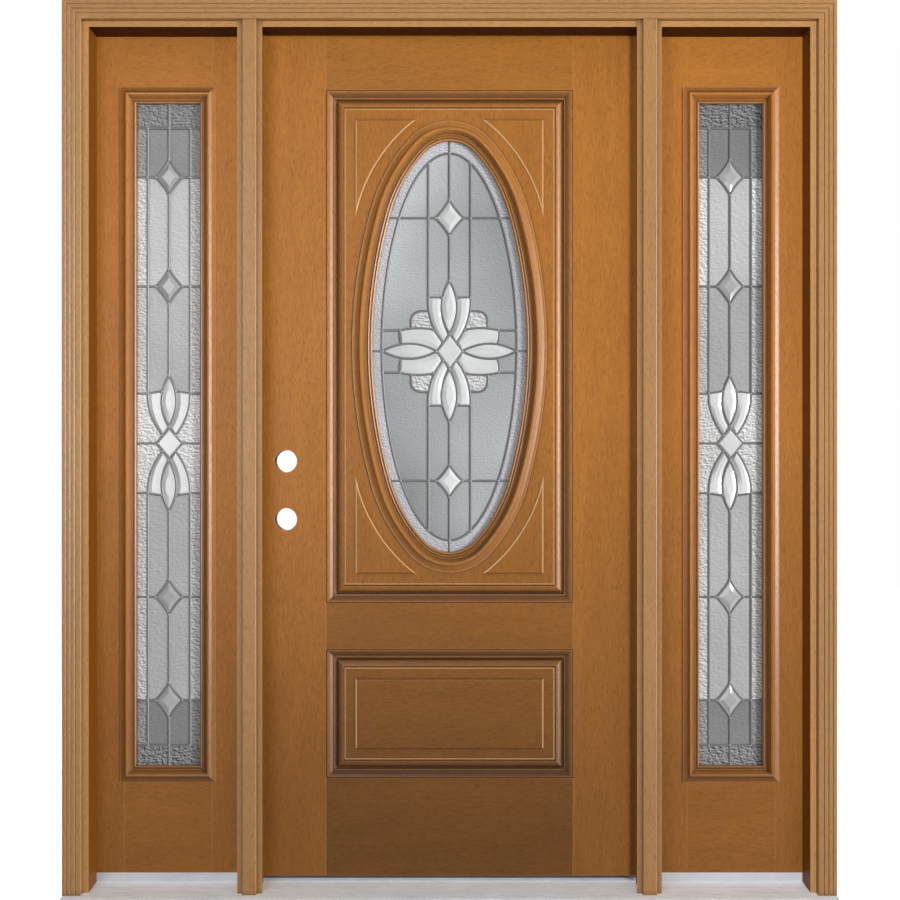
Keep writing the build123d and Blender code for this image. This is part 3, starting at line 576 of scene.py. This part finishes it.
def bow(start, end, rise, steps=14):
    """Points of a line from start to end that bows to its left by rise at the middle."""
    start, end = Vector(start), Vector(end)
    left = Vector((start.y - end.y, end.x - start.x)).normalized()
    shares = [step / steps for step in range(steps + 1)]
    return [start.lerp(end, share) + left * (4 * rise * share * (1 - share)) for share in shares]


def smooth_line(points, steps=6):
    """Points of a smooth line through a few given points."""
    points = [Vector(point) for point in points]
    ends = [points[0] * 2 - points[1], *points, points[-1] * 2 - points[-2]]
    line = []
    for before, start, end, after in zip(ends, ends[1:], ends[2:], ends[3:]):
        for step in range(steps):
            t = step / steps
            line.append(
                0.5 * (2 * start + (end - before) * t + (2 * before - 5 * start + 4 * end - after) * t**2
                       + (3 * start - 3 * end + after - before) * t**3)
            )
    return line + [points[-1]]


def oval_line(middle, semi_x, semi_z, steps=120):
    """Points round an oval."""
    turns = [2 * math.pi * step / steps for step in range(steps)]
    return [Vector((middle[0] + semi_x * math.cos(t), middle[1] + semi_z * math.sin(t))) for t in turns]


def diamond_line(middle, half_x, half_z, hollow):
    """Points round a diamond whose sides are slightly hollow."""
    x, z = middle
    tips = [(x, z + half_z), (x + half_x, z), (x, z - half_z), (x - half_x, z)]
    line = []
    for start, end in zip(tips, tips[1:] + tips[:1]):
        line += bow(start, end, -hollow, 5)[:-1]
    return line


def lens_line(start, end, half_width):
    """Points round a lens between two tips."""
    return bow(start, end, half_width)[:-1] + bow(end, start, half_width)[:-1]


def mirrored(line, flip_x, flip_z):
    """The same line mirrored left to right, top to bottom, or both."""
    return [Vector((point.x * flip_x, point.y * flip_z)) for point in line]


print("a lens of the flower has", len(lens_line((0, 43), (0, 170), 18.5)), "points")

# %% Solids of the pattern
CAME_WIDTH, CAME_HEIGHT = 6.0, 2.8
CAME_SECTION = [(-0.5, 0), (-0.44, 0.55), (-0.22, 0.92), (0.22, 0.92), (0.44, 0.55), (0.5, 0)]


class Relief:
    """Collects the vertices and faces of one finish: across, up and proud of the glass, in millimetres."""

    def __init__(self):
        self.points, self.faces = [], []

    def add_points(self, points):
        first = len(self.points)
        self.points += points
        return range(first, len(self.points))

    def came(self, line, closed=False, width=CAME_WIDTH):
        """Sweep the came's half-round section along a line."""
        line = [Vector(point) for point in line]
        rows = []
        for index, point in enumerate(line):
            before = line[index - 1] if closed or index else None
            after = line[(index + 1) % len(line)] if closed or index + 1 < len(line) else None
            ways = [w.normalized() for w in ((point - before) if before else None, (after - point) if after else None) if w]
            way = sum(ways, Vector((0, 0))).normalized()
            spread = 1 / max(0.5, way.dot(ways[0]))
            side = Vector((-way.y, way.x)) * spread * width
            rows.append(self.add_points([(*(point + side * across), CAME_HEIGHT * high) for across, high in CAME_SECTION]))
        pairs = list(zip(rows, rows[1:] + rows[:1])) if closed else list(zip(rows, rows[1:]))
        for near, far in pairs:
            self.faces += [(near[k], near[k + 1], far[k + 1], far[k]) for k in range(len(CAME_SECTION) - 1)]
        if not closed:
            self.faces += [tuple(rows[0]), tuple(reversed(rows[-1]))]

    def solder(self, point, radius=4.2, height=3.6):
        """Drop a low dome of solder on a joint."""
        x, z = point
        rings = []
        for share, high in ((1, 0), (0.86, 0.55), (0.5, 0.9)):
            turns = [2 * math.pi * k / 10 for k in range(10)]
            rings.append(self.add_points([(x + radius * share * math.cos(t), z + radius * share * math.sin(t), height * high) for t in turns]))
        for near, far in zip(rings, rings[1:]):
            self.faces += [(near[k], near[(k + 1) % 10], far[(k + 1) % 10], far[k]) for k in range(10)]
        self.faces.append(tuple(rings[-1]))

    def bevel(self, outline, inner_share, height=4.6):
        """Raise a bevelled piece: a sloping rim round a flat middle, both with the outline's shape."""
        middle = sum(outline, Vector((0, 0))) / len(outline)
        rim = self.add_points([(*point, 0.4) for point in outline])
        flat = self.add_points([(*middle.lerp(point, inner_share), height) for point in outline])
        count = len(outline)
        self.faces += [(rim[k], rim[(k + 1) % count], flat[(k + 1) % count], flat[k]) for k in range(count)]
        self.faces.append(tuple(flat))

    def bevel_between(self, left, right, height=4.2):
        """Raise a bevelled piece between two lines that run the same way."""
        count = len(left)
        columns = []
        for index, (a, b) in enumerate(zip(left, right)):
            rim = index in (0, count - 1)
            highs = (0.4, 0.4, 0.4, 0.4) if rim else (0.4, height, height, 0.4)
            places = [a, a.lerp(b, 0.3), a.lerp(b, 0.7), b]
            columns.append(self.add_points([(*place, high) for place, high in zip(places, highs)]))
        for near, far in zip(columns, columns[1:]):
            self.faces += [(near[k], near[k + 1], far[k + 1], far[k]) for k in range(3)]

    def pane(self, outline, hole=None, height=0.7):
        """Lay a thin textured pane with an outline and, if given, a hole."""
        loops = [outline] if hole is None else [outline, hole]
        flat = [point for loop in loops for point in loop]
        top = self.add_points([(*point, height) for point in flat])
        self.faces += [tuple(top[k] for k in corner) for corner in tessellate_polygon([[(*p, 0) for p in loop] for loop in loops])]

    def lay(self, name, material, body, middle_x, faces_at):
        """Lay the relief on the outer and inner faces of the glass as one piece that rides on a body."""
        mesh = bpy.data.meshes.new(name)
        vertices, faces = [], []
        for face, outward in faces_at:
            first = len(vertices)
            vertices += [(middle_x + x / 1000, face + outward * proud / 1000, z / 1000) for x, z, proud in self.points]
            faces += [tuple(first + k for k in corner) for corner in self.faces]
        mesh.from_pydata(vertices, [], faces)
        shape = bmesh.new()
        shape.from_mesh(mesh)
        for corner in shape.faces:
            at_back = corner.calc_center_median().y > sum(face for face, _ in faces_at) / 2
            if corner.normal.y * (1 if at_back else -1) < 0:
                corner.normal_flip()
        shape.to_mesh(mesh)
        shape.free()
        mesh.materials.append(material)
        piece = bpy.data.objects.new(name, mesh)
        bpy.context.scene.collection.objects.link(piece)
        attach(piece, body)
        print(f"{name}: {len(mesh.vertices)} vertices, {len(mesh.polygons)} faces")
        return piece


# %% [markdown]
# ## The oval light
#
# A hammered border runs round the oval. Inside it, three upright cames and two level ones carry a diamond
# above and below, and a flower of lens bevels and curved flanks sits round a diamond in the middle. The
# flower is nearly symmetrical, so one quarter is drawn and mirrored. Heights are measured from the
# flower's middle.

# %% Measure the oval light
oval_low, oval_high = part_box("oval_glass")
GLASS_BITE = 12.0
OVAL_Z = 500 * (oval_low.z + oval_high.z)
OVAL_SEMI_X = 500 * (oval_high.x - oval_low.x) - GLASS_BITE
OVAL_SEMI_Z = 500 * (oval_high.z - oval_low.z) - GLASS_BITE
FLOWER_DROP = 11.2
FLOWER_Z = OVAL_Z - FLOWER_DROP
BORDER_X, BORDER_Z = 163.0, 466.7
glass_faces = [(oval_low.y, -1), (oval_high.y, 1)]
print(f"clear oval {2 * OVAL_SEMI_X:.0f} by {2 * OVAL_SEMI_Z:.0f} mm, flower at {FLOWER_Z:.0f} mm")


def edge_x(z, semi_x, semi_z):
    """Half the width of an oval about the glass's middle, at a height from the flower's middle."""
    return semi_x * math.sqrt(max(0.0, 1 - ((z - FLOWER_DROP) / semi_z) ** 2))


def edge_z(x, semi_x, semi_z):
    """Half the height of that oval at a distance across."""
    return semi_z * math.sqrt(max(0.0, 1 - (x / semi_x) ** 2))


# %% Draw the oval light
lead, drops, bevels, hammered, corners = Relief(), Relief(), Relief(), Relief(), Relief()
LEVELS = {322.0: (34.0, 43.0), -312.0: (31.5, 39.0)}
UPRIGHT_X, FLANK_Z, FLANK_X, CORNER_X = 51.0, 130.0, 119.0, 92.0
PETAL_TIP, SIDE_TIP, HEART_X, HEART_Z = 170.0, 161.0, 31.6, 42.0

lead.came(oval_line((0, FLOWER_DROP), BORDER_X, BORDER_Z), closed=True)
hammered.pane(oval_line((0, FLOWER_DROP), OVAL_SEMI_X, OVAL_SEMI_Z), oval_line((0, FLOWER_DROP), BORDER_X, BORDER_Z))
for level, (half_x, half_z) in LEVELS.items():
    up = 1 if level > 0 else -1
    diamond = diamond_line((0, level), half_x, half_z, 2.2)
    lead.came(diamond, closed=True)
    bevels.bevel(diamond, 0.5)
    lead.came([(0, FLOWER_DROP + up * OVAL_SEMI_Z), (0, level + up * half_z)])
    lead.came([(0, level - up * half_z), (0, up * PETAL_TIP)])
    drops.solder((0, FLOWER_DROP + up * BORDER_Z))
    drops.solder((0, level + half_z))
    drops.solder((0, level - half_z))
    for side in (-1, 1):
        lead.came([(side * edge_x(level, OVAL_SEMI_X, OVAL_SEMI_Z), level), (side * half_x, level)])
        border_end = FLOWER_DROP + up * edge_z(UPRIGHT_X, BORDER_X, BORDER_Z)
        lead.came([(side * UPRIGHT_X, border_end), (side * UPRIGHT_X, up * FLANK_Z)])
        for joint in ((half_x, level), (UPRIGHT_X, level), (edge_x(level, BORDER_X, BORDER_Z), level), (UPRIGHT_X, border_end)):
            drops.solder((side * joint[0], joint[1]))

heart = diamond_line((0, 0), HEART_X, HEART_Z, 0)
lead.came(heart, closed=True)
bevels.bevel(heart, 0.8)
for turn in (-1, 1):
    petal = lens_line((0, turn * 43.0), (0, turn * PETAL_TIP), 18.5)
    side_petal = lens_line((turn * HEART_X, 1), (turn * SIDE_TIP, 1), 18.0)
    for lens in (petal, side_petal):
        lead.came(lens, closed=True)
        bevels.bevel(lens, 0.45)
    lead.came([(turn * OVAL_SEMI_X, 1), (turn * SIDE_TIP, 1)])
    for joint in ((0, turn * PETAL_TIP), (0, turn * HEART_Z), (turn * HEART_X, 0), (turn * SIDE_TIP, 1)):
        drops.solder(joint)

flank_out = smooth_line([(UPRIGHT_X, FLANK_Z), (50.2, 104), (44, 74), (35.2, 51.7), (25.4, 34.5), (15.5, 21)])
flank_in = smooth_line([(17.2, FLANK_Z), (20.2, 108), (19.8, 90), (16.2, 70), (11.5, 55), (5.5, 40)])
side_out = smooth_line([(FLANK_X, 51), (100, 54.4), (82, 56), (57.4, 55.4), (38.2, 50.2), (17, 22)])
side_in = smooth_line([(116.5, 20), (100, 20.6), (82, 19.4), (62, 15.4), (46, 9.5), (30.5, 3.5)])
corner_line = [(CORNER_X, 56), *bow((CORNER_X, 76), (71, 97), -5.5, 8), (49, 97.5)]
for flip_x in (-1, 1):
    for flip_z in (-1, 1):
        out, inside = mirrored(flank_out, flip_x, flip_z), mirrored(flank_in, flip_x, flip_z)
        lead.came(out)
        lead.came([out[0], inside[0]])
        bevels.bevel_between(out, inside)
        out, inside = mirrored(side_out, flip_x, flip_z), mirrored(side_in, flip_x, flip_z)
        lead.came(out[:-6])
        lead.came(bow(out[0], inside[0], 2.0 * flip_x * flip_z))
        bevels.bevel_between(out, inside)
        corner = mirrored([Vector(point) for point in corner_line], flip_x, flip_z)
        lead.came(corner)
        corners.pane(corner + mirrored([Vector(p) for p in ((46.5, 84), (40, 62), (36, 54))], flip_x, flip_z))
        lead.came([(flip_x * edge_x(51 * flip_z, BORDER_X, BORDER_Z), 51 * flip_z), (flip_x * FLANK_X, 51 * flip_z)])
        for joint in ((UPRIGHT_X, FLANK_Z), (17.2, FLANK_Z), (FLANK_X, 51), (37.5, 52), (15.5, 21), (162, 51)):
            drops.solder((flip_x * joint[0], flip_z * joint[1]), 4.0)


def lift(relief, by):
    """Raise a drawing from its own middle to a height above the sill."""
    relief.points = [(x, z + by, proud) for x, z, proud in relief.points]
    return relief


lift(lead, FLOWER_Z).lay("oval_came", soft_lead, "door", 0, glass_faces)
lift(drops, FLOWER_Z).lay("oval_solder", bright_solder, "door", 0, glass_faces)
lift(bevels, FLOWER_Z).lay("oval_bevels", petal_glass, "door", 0, glass_faces)
lift(hammered, FLOWER_Z).lay("oval_hammered_border", border_glass, "door", 0, glass_faces)
lift(corners, FLOWER_Z).lay("oval_hammered_corners", corner_glass, "door", 0, glass_faces)

# %% [markdown]
# ## The sidelite lights
#
# Each sidelite repeats the theme on a tall strip: hammered panes at the head and the foot and down both
# edges, a came up the middle with four diamonds on it, and a smaller flower with two lenses. Heights are
# measured from the sill this time, because the four diamonds aren't evenly spaced.

# %% Draw one sidelite light
side_low, side_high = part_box("right_sidelite_glass")
HALF_X = 500 * (side_high.x - side_low.x) - GLASS_BITE
FOOT_Z, HEAD_Z = 1000 * side_low.z + GLASS_BITE, 1000 * side_high.z - GLASS_BITE
EDGE_CAME_X, HEAD_CAME_Z, FOOT_CAME_Z = 51.0, 1839.6, 351.4
DIAMONDS_Z, DIAMOND_X, DIAMOND_Z = (1721.0, 1458.0, 709.0, 460.0), 32.0, 42.0
BLOOM_Z, BLOOM_X, BLOOM_HEART_Z, BLOOM_LEVEL = 1079.5, 31.0, 36.0, 120.0
SOLDER_RADIUS = 3.8

lead, drops, bevels, diamonds, hammered, ends = Relief(), Relief(), Relief(), Relief(), Relief(), Relief()
bloom_out = smooth_line([(EDGE_CAME_X, BLOOM_LEVEL), (49.5, 96), (44, 72), (34.5, 49), (25, 33), (15.5, 19)])
bloom_in = smooth_line([(17, 125.5), (20, 104), (19.5, 86), (16, 66), (11, 52), (6, 42)])
bloom_up = [Vector((point.x, BLOOM_Z + point.y)) for point in bloom_out]
bloom_down = [Vector((point.x, BLOOM_Z - point.y)) for point in reversed(bloom_out)]
for side in (-1, 1):
    inner = [(EDGE_CAME_X, HEAD_CAME_Z), *bloom_up, (BLOOM_X, BLOOM_Z), *bloom_down, (EDGE_CAME_X, FOOT_CAME_Z)]
    strip = [Vector((side * x, z)) for x, z in [(HALF_X, FOOT_CAME_Z), (HALF_X, HEAD_CAME_Z), *inner]]
    hammered.pane(strip)
    lead.came([(side * EDGE_CAME_X, HEAD_CAME_Z), (side * EDGE_CAME_X, BLOOM_Z + BLOOM_LEVEL)])
    lead.came([(side * EDGE_CAME_X, BLOOM_Z - BLOOM_LEVEL), (side * EDGE_CAME_X, FOOT_CAME_Z)])
    for turn in (-1, 1):
        out = [Vector((p.x, BLOOM_Z + p.y)) for p in mirrored(bloom_out, side, turn)]
        inside = [Vector((p.x, BLOOM_Z + p.y)) for p in mirrored(bloom_in, side, turn)]
        lead.came(out)
        lead.came([out[0], inside[0]])
        lead.came([(side * HALF_X, out[0].y), out[0]])
        bevels.bevel_between(out, inside)
        for joint in (out[0], inside[0], out[-1]):
            drops.solder(joint, SOLDER_RADIUS)
    lead.came([(side * HALF_X, BLOOM_Z), (side * BLOOM_X, BLOOM_Z)])
    for z in DIAMONDS_Z:
        lead.came([(side * HALF_X, z), (side * DIAMOND_X, z)])
        drops.solder((side * EDGE_CAME_X, z), SOLDER_RADIUS)
        drops.solder((side * DIAMOND_X, z), SOLDER_RADIUS)
for z, edge in ((HEAD_CAME_Z, HEAD_Z), (FOOT_CAME_Z, FOOT_Z)):
    lead.came([(-HALF_X, z), (HALF_X, z)])
    ends.pane([Vector(p) for p in ((-HALF_X, z), (HALF_X, z), (HALF_X, edge), (-HALF_X, edge))])
    for x in (-EDGE_CAME_X, 0, EDGE_CAME_X):
        drops.solder((x, z), SOLDER_RADIUS)
stops = [HEAD_Z]
for z in DIAMONDS_Z:
    diamond = diamond_line((0, z), DIAMOND_X, DIAMOND_Z, 2.2)
    lead.came(diamond, closed=True)
    diamonds.bevel(diamond, 0.5)
    stops += [z + DIAMOND_Z, z - DIAMOND_Z]
stops = stops[:5] + [BLOOM_Z + 163, BLOOM_Z - 163] + stops[5:] + [FOOT_Z]
for top, bottom in zip(stops[::2], stops[1::2]):
    lead.came([(0, top), (0, bottom)])
    drops.solder((0, top), SOLDER_RADIUS)
    drops.solder((0, bottom), SOLDER_RADIUS)
heart = diamond_line((0, BLOOM_Z), BLOOM_X, BLOOM_HEART_Z, 0)
lead.came(heart, closed=True)
bevels.bevel(heart, 0.8)
for turn in (-1, 1):
    lens = lens_line((0, BLOOM_Z + turn * 42), (0, BLOOM_Z + turn * 163), 17.4)
    lead.came(lens, closed=True)
    bevels.bevel(lens, 0.45)
    drops.solder((0, BLOOM_Z + turn * 40), SOLDER_RADIUS)
print("uprights of a sidelite:", list(zip(stops[::2], stops[1::2])))

# %% Lay it on both sidelites
for side in ("left", "right"):
    low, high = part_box(f"{side}_sidelite_glass")
    middle_x = (low.x + high.x) / 2
    faces_at = [(low.y, -1), (high.y, 1)]
    lead.lay(f"{side}_sidelite_came", soft_lead, "frame", middle_x, faces_at)
    drops.lay(f"{side}_sidelite_solder", bright_solder, "frame", middle_x, faces_at)
    bevels.lay(f"{side}_sidelite_bevels", petal_glass, "frame", middle_x, faces_at)
    diamonds.lay(f"{side}_sidelite_diamonds", diamond_glass, "frame", middle_x, faces_at)
    hammered.lay(f"{side}_sidelite_hammered_panes", strip_glass, "frame", middle_x, faces_at)
    ends.lay(f"{side}_sidelite_end_panes", end_glass, "frame", middle_x, faces_at)

# %% [markdown]
# ## Studio
#
# The photograph is a plain catalogue view: the camera stands square to the door, a little below its
# middle, and the ground around the unit is white. A white world with a pale floor gives that ground. The
# mouldings are bright on the sides that face right, so a large soft light stands on the right, a second
# one fills from the left, and weak ones hang above and behind. The level members of the mouldings are
# darker than the upright ones, so little light may come from above.

# %% Floor and world
floor_mesh = bpy.data.meshes.new("pale_floor")
floor_mesh.from_pydata([(-9, -9, -0.002), (9, -9, -0.002), (9, 9, -0.002), (-9, 9, -0.002)], [], [(0, 1, 2, 3)])
floor = bpy.data.objects.new("pale_floor", floor_mesh)
bpy.context.scene.collection.objects.link(floor)
floor_paint, floor_tree, floor_shader = new_material("pale_floor_paint")
floor_place = add(floor_tree, "TexCoord")
floor_tone = ramp(floor_tree, noise(floor_tree, floor_place.outputs["Object"], 3, 3), [(0.3, 0.74), (0.7, 0.78)])
floor_tree.links.new(floor_tone, floor_shader.inputs["Base Color"])
floor_shader.inputs["Roughness"].default_value = 0.7
floor_rays = add(floor_tree, "LightPath")
floor_tree.links.new(math_node(floor_tree, "MULTIPLY", floor_rays.outputs["Is Camera Ray"], 0.82), floor_shader.inputs["Emission Strength"])
floor_shader.inputs["Emission Color"].default_value = (1, 1, 1, 1)
floor_mesh.materials.append(floor_paint)
floor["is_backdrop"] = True

world = bpy.data.worlds.new("white_studio")
bpy.context.scene.world = world
world.use_nodes = True
sky = world.node_tree
ground = sky.nodes["Background"]
ground.inputs["Color"].default_value = (1, 1, 1, 1)
rays = add(sky, "LightPath")
seen = add(sky, "MapRange")
seen.inputs["To Min"].default_value = 0.24
seen.inputs["To Max"].default_value = 1.0
sky.links.new(rays.outputs["Is Camera Ray"], seen.inputs["Value"])
sky.links.new(seen.outputs["Result"], ground.inputs["Strength"])
print("stage:", floor.name, "and", world.name)

# %% Lights


def soft_light(name, place_at, aim, width, height, watts):
    """Hang a rectangular light that faces a point."""
    data = bpy.data.lights.new(name, "AREA")
    data.shape = "RECTANGLE"
    data.size, data.size_y, data.energy = width, height, watts
    light = bpy.data.objects.new(name, data)
    light.location = place_at
    light.rotation_euler = (Vector(aim) - Vector(place_at)).to_track_quat("-Z", "Y").to_euler()
    bpy.context.scene.collection.objects.link(light)
    return light


key = soft_light("right_light", (7.5, -4.7, 1.6), (0, 0, 1.3), 2.2, 3.6, 1000)
soft_light("left_light", (-1.3, -3.8, 1.7), (0, 0, 1.2), 1.6, 2.0, 46)
soft_light("overhead_light", (0, -1.7, 4.4), (0, 0, 0.6), 3.0, 2.2, 20)
soft_light("rear_light", (-1.5, 3.0, 2.4), (0, 0, 1.1), 2.0, 1.6, 70)
open_to_key = bpy.data.collections.new("lit_past")
for name, node in nodes.items():
    if "jamb" in name or "brickmould" in name or "mullion" in name:
        open_to_key.objects.link(node)
for entry in open_to_key.collection_objects:
    entry.light_linking.link_state = "EXCLUDE"
key.light_linking.blocker_collection = open_to_key

# %% Camera
VANISHING_X, VANISHING_Y, FOCAL_PX, IMAGE_PX = 449.5, 478.0, 1324.0, 900.0
camera_data = bpy.data.cameras.new("square_camera")
camera_data.sensor_width = 36.0
camera_data.lens = camera_data.sensor_width * FOCAL_PX / IMAGE_PX
camera_data.shift_x = (IMAGE_PX / 2 - VANISHING_X) / IMAGE_PX
camera_data.shift_y = (VANISHING_Y - IMAGE_PX / 2) / IMAGE_PX
camera = bpy.data.objects.new("square_camera", camera_data)
camera.location = (0, -3.112, 0.996)
camera.rotation_euler = (math.pi / 2, 0, 0)
bpy.context.scene.collection.objects.link(camera)
bpy.context.scene.camera = camera
bpy.context.scene.view_settings.view_transform = "Standard"
print(f"lens {camera_data.lens:.2f} mm, shift {camera_data.shift_y:.4f}")

# %% [markdown]
# ## The size of the dressed model
#
# The box round the dressed model is measured and printed.

# %% Print the size
low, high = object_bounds()
print("visual box", [round(s, 4) for s in high - low])
